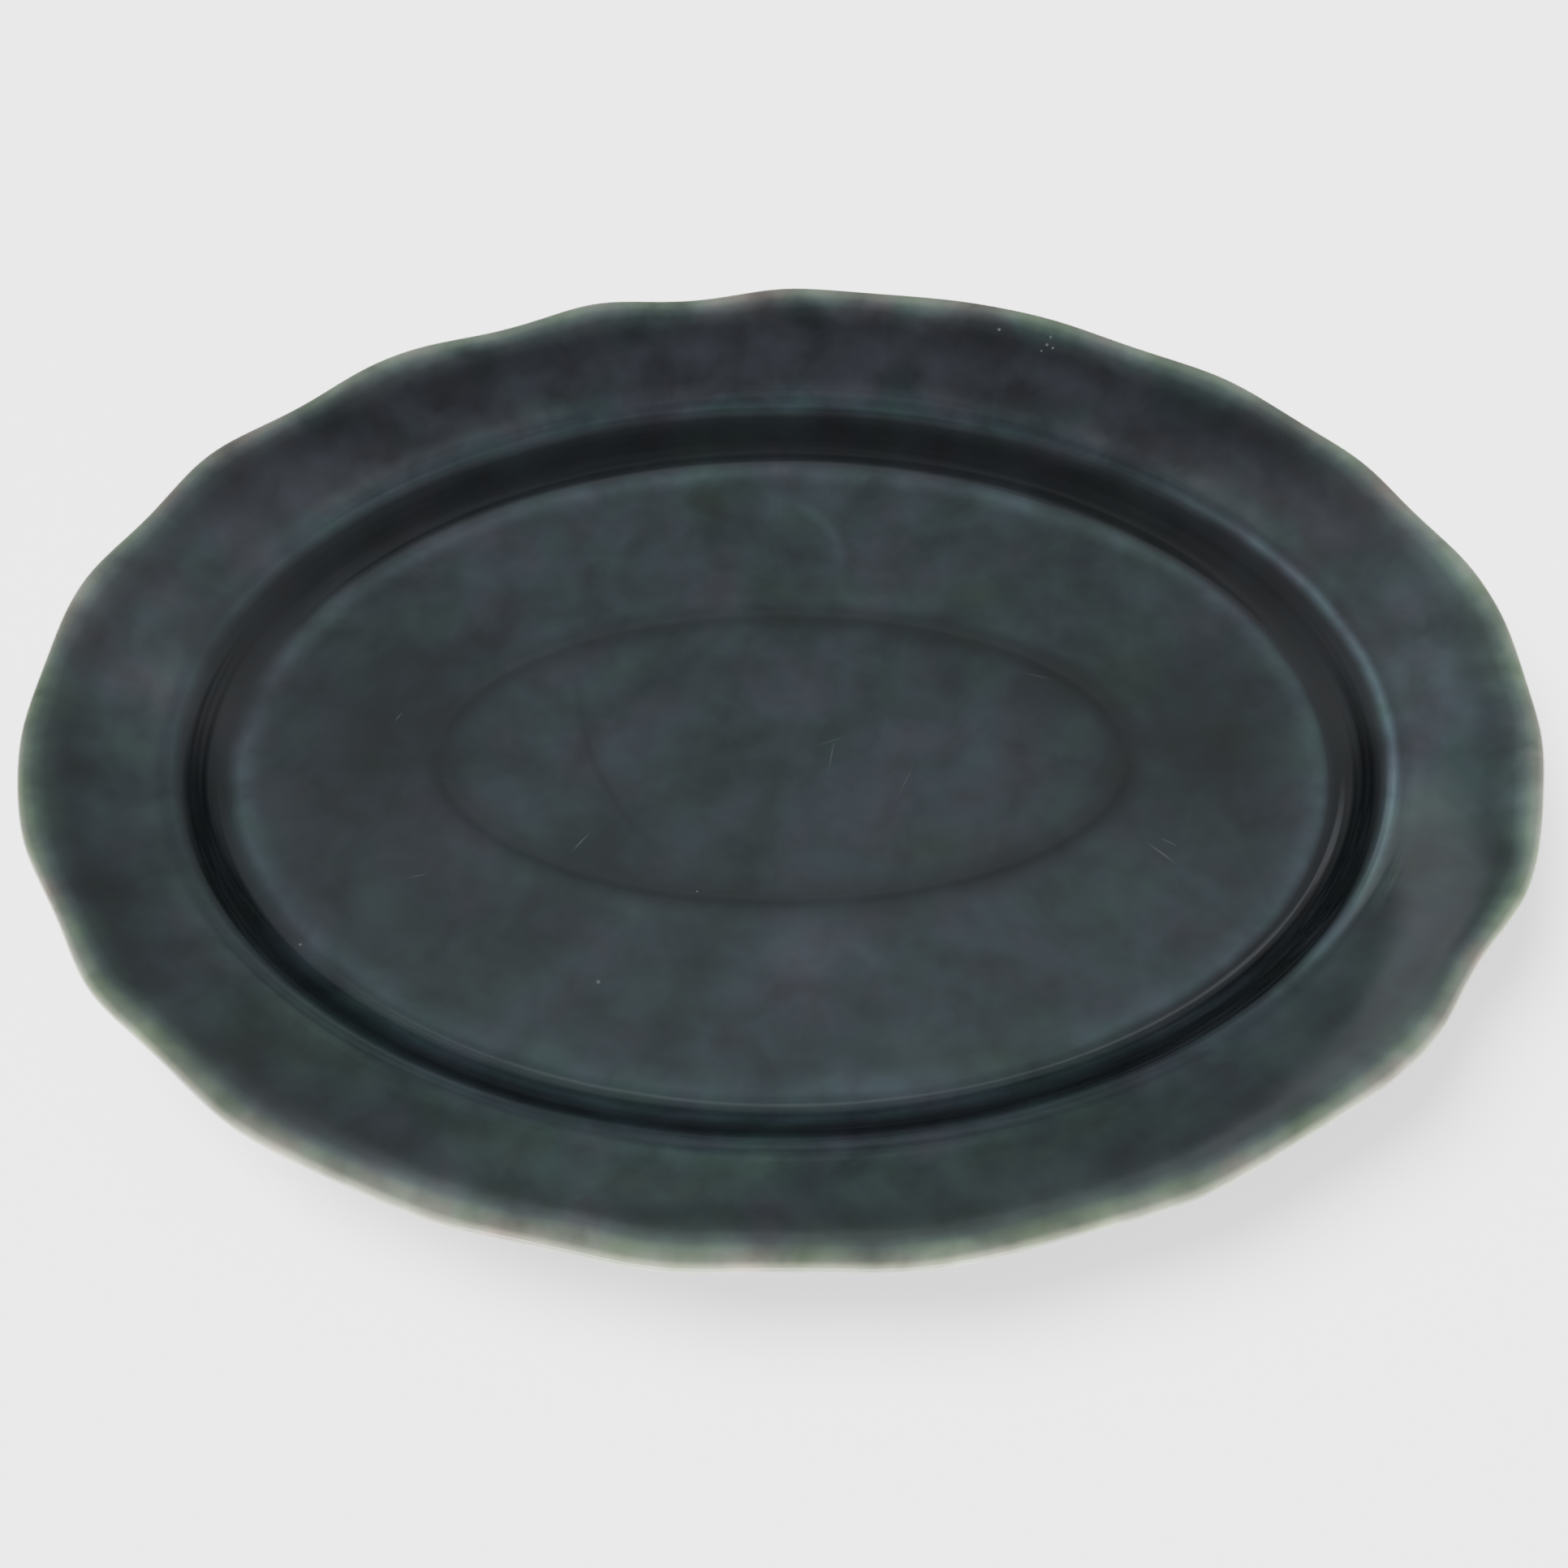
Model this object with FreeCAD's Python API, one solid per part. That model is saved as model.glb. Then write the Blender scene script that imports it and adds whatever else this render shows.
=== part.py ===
import FreeCAD, Part
import math
import os

# Oval serving platter of pressed china, glazed all over but for the faces it
# stands on. Millimetres. The origin is on the table under the middle of the
# platter; +X runs along its length and +Z up.
#
# A fired platter has no fasteners. Its pieces are the clay body, the two clay
# rings luted under it, and the coats of glaze, each kept as its own solid.
# "Inset" is always the distance in from the crests of the lip, so each oval
# is LENGTH and WIDTH less twice its inset.

os.makedirs("parts", exist_ok=True)

# ---- overall
LENGTH = 356.0             # along X, over the crests of the scalloped lip
WIDTH = 268.0              # along Y, over the crests
HEIGHT = 30.1              # table to the top of the lip

# ---- body
FOOT_HEIGHT = 3.0          # table to the underside of the floor
FLOOR_THICKNESS = 4.5
WALL_THICKNESS = 4.2       # at the wall of the well, square to the surface
LIP_THICKNESS = 3.0
LIP_SLOPE = 14.0           # degrees the rim still climbs where it meets the lip
LIP_RUN = 4.0              # straight stretch of rim behind the rounded lip
RIM_BOW = 0.9              # how far the rim arches above a straight line
SHOULDER_INSET = 30.5      # lip to the roll between rim and well
WELL_DEPTH = 9.8           # floor to that roll
WALL_RUN = 12.5            # how far the wall leans, seen from above
FILLET_RUN = 6.0           # stretch of floor that curves up into the wall

# ---- ghost ring: a soft groove in the floor above the inner ring
RING_INSET = 94.0          # lip to the middle of the groove and of the ring below
GROOVE_DEPTH = 0.35
GROOVE_WIDTH = 9.0
GROOVE_FILL = 0.7          # share of the groove that the glaze levels

# ---- rings underneath
FOOT_STEP = 1.5            # from the foot of the wall in to the foot ring's root
FOOT_ROOT_WIDTH = 6.5
SUPPORT_ROOT_WIDTH = 5.5
SUPPORT_RECESS = 0.3       # the inner ring stops this far above the table
RING_LEAN = 0.43           # how much each side leans in for each mm it drops
RING_ROUND = 0.5           # edge rounding either side of a bearing face

# ---- glaze, thickness square to the surface
GLAZE_LIP = 0.22
GLAZE_RIM = 0.4
GLAZE_SHOULDER = 0.3
GLAZE_POOL = 0.95          # where it collects at the foot of the wall
GLAZE_FLOOR = 0.5
GLAZE_UNDER = 0.35
GLAZE_STOP = 1.2           # glaze is wiped off the foot ring up to this height

# ---- hand-cut scallops: (degrees round the oval from +X, depth in mm)
SCALLOPS = [
    (3, 1.0), (26, 1.6), (40, 1.0), (58, 1.2), (82, 0.7), (98, 2.7), (115, 2.2),
    (136, 2.0), (155, 1.9), (175, 1.0), (204, 1.9), (221, 1.8), (240, 0.9),
    (254, 1.4), (270, 1.7), (290, 1.1), (308, 1.3), (330, 2.8), (350, 0.7),
]
SCALLOP_HALF_WIDTH = 10.0  # degrees from the bottom of a scallop to its crests
SCALLOP_DIP = 0.45         # how far the lip drops for each mm it is cut in
SCALLOP_FADE = 1.5         # how quickly the scallops die out towards the shoulder

# ---- control points
AROUND = 180               # in each ring round the oval
LEVEL_STEP = 2.0           # between the rings that bring the floor's curve to level
WALL_SHARES = (0.28, 0.54, 0.77)          # up the wall
RIM_SHARES = (0.10, 0.24, 0.44, 0.64)     # out along the rim
LIP_FULLNESS = 0.6         # how square the end of the lip is before it is rounded
GROOVE_SHARES = (0.4, 0.7)                # flat of the groove's brim
SEAM = 0.01                # nearest that two points of a solid are told apart


# ------------------------------------------------------------------ outline
def scallop(t):
    """Depth of the scalloped lip at angle t, in mm inside the plain oval."""
    depth = 0.0
    for degrees, deep in SCALLOPS:
        away = (math.degrees(t) - degrees + 180.0) % 360.0 - 180.0
        if abs(away) < SCALLOP_HALF_WIDTH:
            depth += deep * math.cos(math.pi / 2 * away / SCALLOP_HALF_WIDTH) ** 2
    return depth


def ring(inset, z):
    """Control points of one oval, the given inset inside the lip, at height z."""
    fade = max(0.0, 1.0 - inset / SHOULDER_INSET) ** SCALLOP_FADE
    points = []
    for i in range(AROUND):
        t = 2 * math.pi * i / AROUND
        cut = fade * scallop(t)
        x = (LENGTH / 2 - inset - cut) * math.cos(t)
        y = (WIDTH / 2 - inset - cut) * math.sin(t)
        points.append(FreeCAD.Vector(x, y, z - SCALLOP_DIP * cut))
    return points


# ------------------------------------------------------------------ surfaces
ROUND_KNOTS = list(range(AROUND + 1))
ROUND_MULTS = [1] * (AROUND + 1)
QUARTERS = [(AROUND * quarter / 4, AROUND * (quarter + 1) / 4) for quarter in range(4)]


def skin(rows, degree=3):
    """Band through a list of (inset, z) control rows, as four panels round the oval."""
    spans = len(rows) - degree
    knots = list(range(spans + 1))
    mults = [degree + 1] + [1] * (spans - 1) + [degree + 1]
    rings = [ring(inset, z) for inset, z in rows]
    poles = [list(column) for column in zip(*rings)]
    surface = Part.BSplineSurface()
    surface.buildFromPolesMultsKnots(
        poles, ROUND_MULTS, mults, ROUND_KNOTS, knots, True, False, 3, degree)
    panels = []
    for start, end in QUARTERS:
        panel = surface.copy()
        panel.segment(start, end, 0, spans)
        panels.append(panel.toShape())
    return panels


def oval(inset, z):
    """Closed wire round the platter at one inset and height."""
    curve = Part.BSplineCurve()
    curve.buildFromPolesMultsKnots(ring(inset, z), ROUND_MULTS, ROUND_KNOTS, True, 3)
    arcs = []
    for start, end in QUARTERS:
        arc = curve.copy()
        arc.segment(start, end)
        arcs.append(arc.toShape())
    return Part.Wire(arcs)


def flat(z, outer, inner=None):
    """Level face between two ovals, or inside one."""
    wires = [oval(outer, z)]
    if inner is not None:
        wires.append(oval(inner, z))
    return Part.makeFace(wires, "Part::FaceMakerBullseye")


def solid(faces):
    """Solid closed by the faces, turned over if it holds what is far above it."""
    shell = Part.makeShell(faces)
    shell.sewShape()
    body = Part.makeSolid(shell if shell.ShapeType == "Shell" else shell.Shells[0])
    if body.isInside(FreeCAD.Vector(0, 0, 2 * LENGTH), SEAM, False):
        body.reverse()
    return body


# ------------------------------------------------------------------- profile
def moved(points, distances):
    """Points of the profile moved square to it: up if positive, down if not."""
    result = []
    for i, (inset, z) in enumerate(points):
        before = points[max(i - 1, 0)]
        after = points[min(i + 1, len(points) - 1)]
        run = after[0] - before[0]
        rise = after[1] - before[1]
        span = math.hypot(run, rise)
        result.append((inset + rise / span * distances[i], z - run / span * distances[i]))
    return result


def mix(a, b, share):
    """Value part of the way from a to b."""
    return a + (b - a) * share


FLOOR_Z = FOOT_HEIGHT + FLOOR_THICKNESS
WELL_EDGE_INSET = SHOULDER_INSET + WALL_RUN
FILLET_END = WELL_EDGE_INSET + FILLET_RUN
FLAT_INSET = FILLET_END + 2 * LEVEL_STEP
LIP_HALF = LIP_THICKNESS / 2
LIP_CENTRE = (LIP_HALF + GLAZE_LIP, HEIGHT - GLAZE_LIP - LIP_HALF)
SLOPE = math.radians(LIP_SLOPE)


def from_lip(out, up):
    """Point given outwards along the rim, and square to it, from the lip's centre."""
    return (LIP_CENTRE[0] - math.cos(SLOPE) * out + math.sin(SLOPE) * up,
            LIP_CENTRE[1] + math.sin(SLOPE) * out + math.cos(SLOPE) * up)


lip_top = from_lip(0, LIP_HALF)
lip_bottom = from_lip(0, -LIP_HALF)
shoulder = (SHOULDER_INSET, FLOOR_Z + WELL_DEPTH)

# Each row: point on the clay's upper side, glaze over it, clay under it. The
# first five are the floor and the last the top of the lip.
FLOOR_ROWS = 5
rows = [((FLAT_INSET, FLOOR_Z), GLAZE_FLOOR, WALL_THICKNESS),
        ((FILLET_END + LEVEL_STEP, FLOOR_Z), GLAZE_FLOOR, WALL_THICKNESS),
        ((FILLET_END, FLOOR_Z), GLAZE_FLOOR, WALL_THICKNESS),
        ((FILLET_END - FILLET_RUN / 2, FLOOR_Z), mix(GLAZE_FLOOR, GLAZE_POOL, 0.5),
         WALL_THICKNESS),
        ((WELL_EDGE_INSET, FLOOR_Z), GLAZE_POOL, WALL_THICKNESS)]
for share in WALL_SHARES:
    climb = share * share * (3 - 2 * share)
    rows.append(((mix(WELL_EDGE_INSET, SHOULDER_INSET, share), FLOOR_Z + WELL_DEPTH * climb),
                 mix(GLAZE_POOL, GLAZE_SHOULDER, share), WALL_THICKNESS))
rows.append((shoulder, GLAZE_SHOULDER, WALL_THICKNESS))
for share in RIM_SHARES:
    arch = RIM_BOW * 4 * share * (1 - share)
    rows.append(((mix(shoulder[0], lip_top[0], share), mix(shoulder[1], lip_top[1], share) + arch),
                 mix(GLAZE_SHOULDER, GLAZE_RIM, share ** 0.5),
                 mix(WALL_THICKNESS, LIP_THICKNESS, share)))
rows.append((from_lip(-LIP_RUN, LIP_HALF), mix(GLAZE_RIM, GLAZE_LIP, 0.5), LIP_THICKNESS))
rows.append((lip_top, GLAZE_LIP, LIP_THICKNESS))

upper = [point for point, glaze, clay in rows]
upper_glaze = [glaze for point, glaze, clay in rows]

# Rounded lip, over from the top to the underside.
lip = [lip_top,
       from_lip(LIP_HALF * LIP_FULLNESS, LIP_HALF),
       from_lip(LIP_HALF * (2 - LIP_FULLNESS), 0),
       from_lip(LIP_HALF * LIP_FULLNESS, -LIP_HALF),
       lip_bottom]
lip_glaze = [GLAZE_LIP] * len(lip)

# Underside, parallel to the rim and wall and then in to the root of the foot.
FOOT_INSET = WELL_EDGE_INSET + FOOT_STEP
beneath = moved(upper, [-clay for point, glaze, clay in rows])
lower = beneath[:FLOOR_ROWS - 1:-1] + [(FOOT_INSET, FOOT_HEIGHT)]
lower_glaze = [GLAZE_LIP, mix(GLAZE_LIP, GLAZE_UNDER, 0.5)] + [GLAZE_UNDER] * (len(lower) - 2)

# Ghost ring, from one flat of the floor to the other.
brim = [GROOVE_WIDTH / 2 * share for share in (1.0,) + GROOVE_SHARES[::-1]]
groove = [(RING_INSET - out, FLOOR_Z) for out in brim]
groove += [(RING_INSET, FLOOR_Z - 1.5 * GROOVE_DEPTH)]     # drawn half as deep again
groove += [(RING_INSET + out, FLOOR_Z) for out in brim[::-1]]
glazed_groove = [(inset, z + GLAZE_FLOOR + GROOVE_FILL * (FLOOR_Z - z)) for inset, z in groove]


def floor_faces(z, groove_rows):
    """Level floor with the ghost ring in it."""
    collar = flat(z, FLAT_INSET, groove_rows[0][0])
    middle = flat(z, groove_rows[-1][0])
    return [collar, middle] + skin(groove_rows)


# --------------------------------------------------------------------- pieces
def make_body():
    """Pressed clay body: floor, wall, rim and lip in one."""
    faces = floor_faces(FLOOR_Z, groove) + skin(upper) + skin(lip) + skin(lower)
    return solid(faces + [flat(FOOT_HEIGHT, FOOT_INSET)])


def ring_sides(root_inset, root_width, bottom):
    """Straight outer and inner sides of a luted ring, each from root to rounding."""
    low = bottom + RING_ROUND
    lean = RING_LEAN * (FOOT_HEIGHT - low)
    outer = [(root_inset, FOOT_HEIGHT), (root_inset + lean, low)]
    inner = [(root_inset + root_width, FOOT_HEIGHT), (root_inset + root_width - lean, low)]
    return outer, inner


def on_side(side, z):
    """Point at height z on the straight side of a ring."""
    share = (side[0][1] - z) / (side[0][1] - side[1][1])
    return (mix(side[0][0], side[1][0], share), z)


def make_ring(sides, bottom):
    """Clay ring with leaning sides, rounded edges and a flat bearing face."""
    outer, inner = sides
    bearing_out = outer[1][0] + RING_ROUND
    bearing_in = inner[1][0] - RING_ROUND
    faces = [flat(FOOT_HEIGHT, outer[0][0], inner[0][0]), flat(bottom, bearing_out, bearing_in)]
    faces += skin(outer, 1) + skin(inner, 1)
    faces += skin([outer[1], (outer[1][0], bottom), (bearing_out, bottom)], 2)
    faces += skin([inner[1], (inner[1][0], bottom), (bearing_in, bottom)], 2)
    return solid(faces)


def make_face_glaze():
    """Glaze over the floor, wall and rim, thin at the lip and deep at the wall."""
    outside = moved(upper, upper_glaze)
    faces = floor_faces(FLOOR_Z, groove) + skin(upper)
    faces += floor_faces(FLOOR_Z + GLAZE_FLOOR, glazed_groove) + skin(outside)
    return solid(faces + skin([upper[-1], outside[-1]], 1))


def make_lip_glaze():
    """Thin glaze drawn round the lip."""
    outside = moved(lip, lip_glaze)
    return solid(skin(lip) + skin(outside)
                 + skin([lip[0], outside[0]], 1) + skin([lip[-1], outside[-1]], 1))


def make_under_glaze(foot_side):
    """Glaze from the lip down the underside and onto the foot ring."""
    outside = moved(lower, lower_glaze)
    stop = on_side(foot_side, GLAZE_STOP)
    end = (stop[0] - GLAZE_UNDER, stop[1])
    outside[-1] = (foot_side[0][0] - GLAZE_UNDER, outside[-1][1])
    faces = skin(lower) + skin(outside) + skin([lower[0], outside[0]], 1)
    return solid(faces + skin([foot_side[0], stop], 1) + skin([stop, end], 1)
                 + skin([end, outside[-1]], 1))


def make_sheet(outer_side, inner_side=None):
    """Level sheet of glaze under the floor, its edges against the rings."""
    low = FOOT_HEIGHT - GLAZE_UNDER
    sides = [side for side in (outer_side, inner_side) if side is not None]
    edges = [(side[0], on_side(side, low)) for side in sides]
    faces = [flat(FOOT_HEIGHT, *[top[0] for top, bottom in edges]),
             flat(low, *[bottom[0] for top, bottom in edges])]
    for edge in edges:
        faces += skin(edge, 1)
    return solid(faces)


foot_sides = ring_sides(FOOT_INSET, FOOT_ROOT_WIDTH, 0.0)
support_sides = ring_sides(RING_INSET - SUPPORT_ROOT_WIDTH / 2, SUPPORT_ROOT_WIDTH,
                           SUPPORT_RECESS)

pieces = {
    "platter_body": make_body(),
    "foot_ring": make_ring(foot_sides, 0.0),
    "support_ring": make_ring(support_sides, SUPPORT_RECESS),
    "face_glaze": make_face_glaze(),
    "lip_glaze": make_lip_glaze(),
    "underside_glaze": make_under_glaze(foot_sides[0]),
    "foot_well_glaze": make_sheet(foot_sides[1], support_sides[0]),
    "centre_glaze": make_sheet(support_sides[1]),
}
for name, piece in pieces.items():
    piece.exportStep("parts/" + name + ".step")
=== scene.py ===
import math
import bpy
import numpy as np
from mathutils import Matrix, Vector


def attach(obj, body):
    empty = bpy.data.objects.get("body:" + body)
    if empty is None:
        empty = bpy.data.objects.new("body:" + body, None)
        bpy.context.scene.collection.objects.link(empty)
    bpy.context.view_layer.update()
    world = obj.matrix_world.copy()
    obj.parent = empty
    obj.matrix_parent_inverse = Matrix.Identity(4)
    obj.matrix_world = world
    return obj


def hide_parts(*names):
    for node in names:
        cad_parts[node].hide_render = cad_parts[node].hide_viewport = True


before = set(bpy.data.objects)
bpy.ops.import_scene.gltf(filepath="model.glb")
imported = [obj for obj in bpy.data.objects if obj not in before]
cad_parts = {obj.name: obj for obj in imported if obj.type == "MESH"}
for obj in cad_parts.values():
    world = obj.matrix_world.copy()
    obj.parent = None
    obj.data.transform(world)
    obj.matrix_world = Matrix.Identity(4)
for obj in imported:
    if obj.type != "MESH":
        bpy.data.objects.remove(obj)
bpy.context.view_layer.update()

# ---------------------------------------------------------------------------
# Glaze coat: one continuous skin of fired glass over the pressed clay, from
# the middle of the well, over the rim and lip, down the back and on to the
# outer side of the foot ring, where it was wiped off before firing.
# ---------------------------------------------------------------------------
LENGTH, WIDTH, HEIGHT = 356.0, 268.0, 30.1        # millimetres, before the scallops are cut
FOOT_HEIGHT, FLOOR_THICKNESS, WALL_THICKNESS = 3.0, 4.5, 4.2
LIP_THICKNESS, LIP_SLOPE, LIP_RUN, RIM_BOW = 3.0, math.radians(14.0), 4.0, 0.9
SHOULDER_INSET, WELL_DEPTH, WALL_RUN, FILLET_RUN = 30.5, 9.8, 12.5, 6.0
RING_INSET, GROOVE_DEPTH, GROOVE_WIDTH, GROOVE_FILL = 94.0, 0.35, 9.0, 0.7
FOOT_STEP, FOOT_ROOT_WIDTH, RING_LEAN = 1.5, 6.5, 0.43
GLAZE_LIP, GLAZE_RIM, GLAZE_SHOULDER, GLAZE_POOL = 0.22, 0.4, 0.3, 0.95
GLAZE_FLOOR, GLAZE_UNDER, GLAZE_STOP = 0.5, 0.35, 1.2
SCALLOPS = np.array([                             # degrees round from +X, depth
    (3, 1.0), (26, 1.6), (40, 1.0), (58, 1.2), (82, 0.7), (98, 2.7), (115, 2.2),
    (136, 2.0), (155, 1.9), (175, 1.0), (204, 1.9), (221, 1.8), (240, 0.9),
    (254, 1.4), (270, 1.7), (290, 1.1), (308, 1.3), (330, 2.8), (350, 0.7)])
SCALLOP_HALF_WIDTH, SCALLOP_DIP, SCALLOP_FADE = 10.0, 0.45, 1.5
AROUND = 180


def scalloped_net(rows):
    """Control net of one stretch of the platter: an oval for each (inset, z) row,
    pulled in and down by the scallops, which fade out towards the shoulder."""
    t = np.radians(np.arange(AROUND) * 360.0 / AROUND)
    away = (np.degrees(t)[:, None] - SCALLOPS[:, 0] + 180.0) % 360.0 - 180.0
    bump = np.cos(np.pi / 2 * np.clip(away / SCALLOP_HALF_WIDTH, -1, 1)) ** 2
    cut = (bump * SCALLOPS[:, 1]).sum(1)
    fade = np.clip(1 - rows[:, :1] / SHOULDER_INSET, 0, None) ** SCALLOP_FADE * cut
    x = (LENGTH / 2 - rows[:, :1] - fade) * np.cos(t)
    y = (WIDTH / 2 - rows[:, :1] - fade) * np.sin(t)
    return np.stack([x, y, rows[:, 1:2] - SCALLOP_DIP * fade], -1)


def row_weights(count, degree, steps):
    """Share of each control row in each mesh row: the clamped B-spline basis,
    built up one degree at a time, at even steps along every span."""
    spans = count - degree
    knots = np.concatenate([np.zeros(degree), np.arange(spans + 1), np.full(degree, spans)])
    at = np.linspace(0, spans, spans * steps + 1)
    span = np.minimum(at.astype(int), spans - 1) + degree
    basis = np.zeros((len(at), len(knots) - 1))
    basis[np.arange(len(at)), span] = 1.0
    for d in range(1, degree + 1):
        wide = knots[d:] - knots[:-d]
        rise = (at[:, None] - knots[:-d]) / np.where(wide > 0, wide, np.inf)
        basis = rise[:, :-1] * basis[:, :-1] + (1 - rise[:, 1:]) * basis[:, 1:] * (wide[1:] > 0)
    return basis


def stretch(rows, depths, steps, degree=3):
    """Mesh rows through a list of (inset, z) control rows: the control net
    smoothed round the oval, at twice as many points as it has, and then across
    its rows. Each point is x, y, z, glaze depth and inset."""
    rows = np.asarray(rows, float)
    net = scalloped_net(rows)
    before, after = np.roll(net, 1, 1), np.roll(net, -1, 1)
    on = (before + 4 * net + after) / 6
    half = (before + 23 * net + 23 * after + np.roll(net, -2, 1)) / 48
    smooth = np.stack([on, half], 2).reshape(len(net), -1, 3)
    facts = np.stack([np.broadcast_to(depths, (len(rows),)), rows[:, 0]], 1)
    facts = np.broadcast_to(facts[:, None], (*smooth.shape[:2], 2))
    return np.tensordot(row_weights(len(net), degree, steps),
                        np.concatenate([smooth, facts], 2), 1)


def middle(row, count):
    """Rows from near the centre out to a level oval, which is shrunk evenly
    towards the centre point while its inset grows to half the width."""
    share = (np.arange(1, count) / count)[:, None, None]
    centre = np.broadcast_to([0, 0, row[0, 2], row[0, 3], WIDTH / 2], row.shape)
    return centre + (row - centre) * share


def mix(a, b, share):
    """Value part of the way from a to b."""
    return a + (b - a) * share


def moved(points, distances):
    """Profile points moved square to the profile: off the clay if positive, and
    into it if not."""
    p = np.asarray(points, float)
    step = np.vstack([p[1:], p[-1:]]) - np.vstack([p[:1], p[:-1]])
    step /= np.hypot(step[:, 0], step[:, 1])[:, None]
    return p + np.stack([step[:, 1], -step[:, 0]], 1) * np.asarray(distances)[:, None]


floor_z = FOOT_HEIGHT + FLOOR_THICKNESS
well_edge = SHOULDER_INSET + WALL_RUN
fillet_end = well_edge + FILLET_RUN
foot_inset = well_edge + FOOT_STEP
lip_half = LIP_THICKNESS / 2
lip_centre = np.array([lip_half + GLAZE_LIP, HEIGHT - GLAZE_LIP - lip_half])
along = np.array([-math.cos(LIP_SLOPE), math.sin(LIP_SLOPE)])
square = np.array([math.sin(LIP_SLOPE), math.cos(LIP_SLOPE)])
lip_top, lip_bottom = lip_centre + square * lip_half, lip_centre - square * lip_half

# Clay under the face: floor, wall, shoulder and rim, each row with its glaze.
FLAT_STEP = 2.0                                   # between rows that hold the floor level
WALL_SHARES, RIM_SHARES = (0.28, 0.54, 0.77, 1.0), (0.10, 0.24, 0.44, 0.64)
face = [(fillet_end + 2 * FLAT_STEP, floor_z), (fillet_end + FLAT_STEP, floor_z),
        (fillet_end, floor_z),
        (fillet_end - FILLET_RUN / 2, floor_z), (well_edge, floor_z)]
face_depth = [GLAZE_FLOOR] * 3 + [mix(GLAZE_FLOOR, GLAZE_POOL, 0.5), GLAZE_POOL]
clay = [WALL_THICKNESS] * 5
for share in WALL_SHARES:
    face.append((mix(well_edge, SHOULDER_INSET, share),
                 floor_z + WELL_DEPTH * share * share * (3 - 2 * share)))
    face_depth.append(mix(GLAZE_POOL, GLAZE_SHOULDER, share))
    clay.append(WALL_THICKNESS)
shoulder = face[-1]
for share in RIM_SHARES:
    face.append((mix(shoulder[0], lip_top[0], share),
                 mix(shoulder[1], lip_top[1], share) + RIM_BOW * 4 * share * (1 - share)))
    face_depth.append(mix(GLAZE_SHOULDER, GLAZE_RIM, share ** 0.5))
    clay.append(mix(WALL_THICKNESS, LIP_THICKNESS, share))
face += [tuple(lip_centre - along * LIP_RUN + square * lip_half), tuple(lip_top)]
face_depth += [mix(GLAZE_RIM, GLAZE_LIP, 0.5), GLAZE_LIP]
clay += [LIP_THICKNESS] * 2

# Depth that the colour goes by, row by row. It is the true depth, weighted:
# less at the edge of the floor, where the pool starts, and more on the wall.
seen_depth = np.array(face_depth) * [
    1, 1, 0.97, 0.70, 0.74, 1.12, 1.5, 1.55, 1.25, 1, 1, 1, 1, 0.96, 1]
lip_seen = [GLAZE_LIP, 0.16, 0.12, 0.16, GLAZE_LIP]

LIP_FULLNESS = 0.6                                # how square the end is before rounding
lip_end = lip_centre + along * lip_half * LIP_FULLNESS
lip = [lip_top, lip_end + square * lip_half, lip_centre + along * lip_half * (2 - LIP_FULLNESS),
       lip_end - square * lip_half, lip_bottom]
back = np.vstack([moved(face, -np.array(clay))[:4:-1], [(foot_inset, FOOT_HEIGHT)]])
back_depth = [GLAZE_LIP, mix(GLAZE_LIP, GLAZE_UNDER, 0.5)] + [GLAZE_UNDER] * (len(back) - 2)
foot_stop = (foot_inset + RING_LEAN * (FOOT_HEIGHT - GLAZE_STOP), GLAZE_STOP)
back_out = moved(back, back_depth)
back_out[-1] = (foot_inset - GLAZE_UNDER, back_out[-1][1])
foot_out = [back_out[-1], (foot_stop[0] - GLAZE_UNDER, GLAZE_STOP)]

# Ghost ring: the middle row is drawn deeper, because the smoothing takes a third away.
across_groove = GROOVE_WIDTH / 2 * np.array([-1, -0.7, -0.4, 0, 0.4, 0.7, 1])
groove = [(RING_INSET + d, floor_z - (1.5 * GROOVE_DEPTH if d == 0 else 0))
          for d in across_groove]
groove_out = [(i, z + GLAZE_FLOOR + GROOVE_FILL * (floor_z - z)) for i, z in groove]


def glaze_shell():
    """Closed coat: out from the centre over the face, lip and back to the wiped
    line on the foot, then home again along the clay."""
    ring_rows = stretch(groove_out, GLAZE_FLOOR, 6)[::-1]
    face_rows = stretch(moved(face, face_depth), seen_depth, 6)
    flat = np.linspace(0, 1, 16)[1:-1, None, None]
    outer = [middle(ring_rows[0], 16), ring_rows,
             ring_rows[-1] * (1 - flat) + face_rows[0] * flat, face_rows,
             stretch(moved(lip, [GLAZE_LIP] * 5), lip_seen, 6)[1:],
             stretch(back_out, back_depth, 4)[1:], stretch(foot_out, GLAZE_UNDER, 3, 1)[1:]]
    inner = [stretch([foot_stop, (foot_inset, FOOT_HEIGHT)], GLAZE_UNDER, 2, 1),
             stretch(back[::-1], GLAZE_UNDER, 2)[1:], stretch(lip[::-1], GLAZE_UNDER, 4)[1:],
             stretch(face[::-1], GLAZE_UNDER, 3)[1:], stretch(groove, GLAZE_UNDER, 3)]
    return np.concatenate(outer + inner + [middle(inner[-1][-1], 3)[::-1]])


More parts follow.
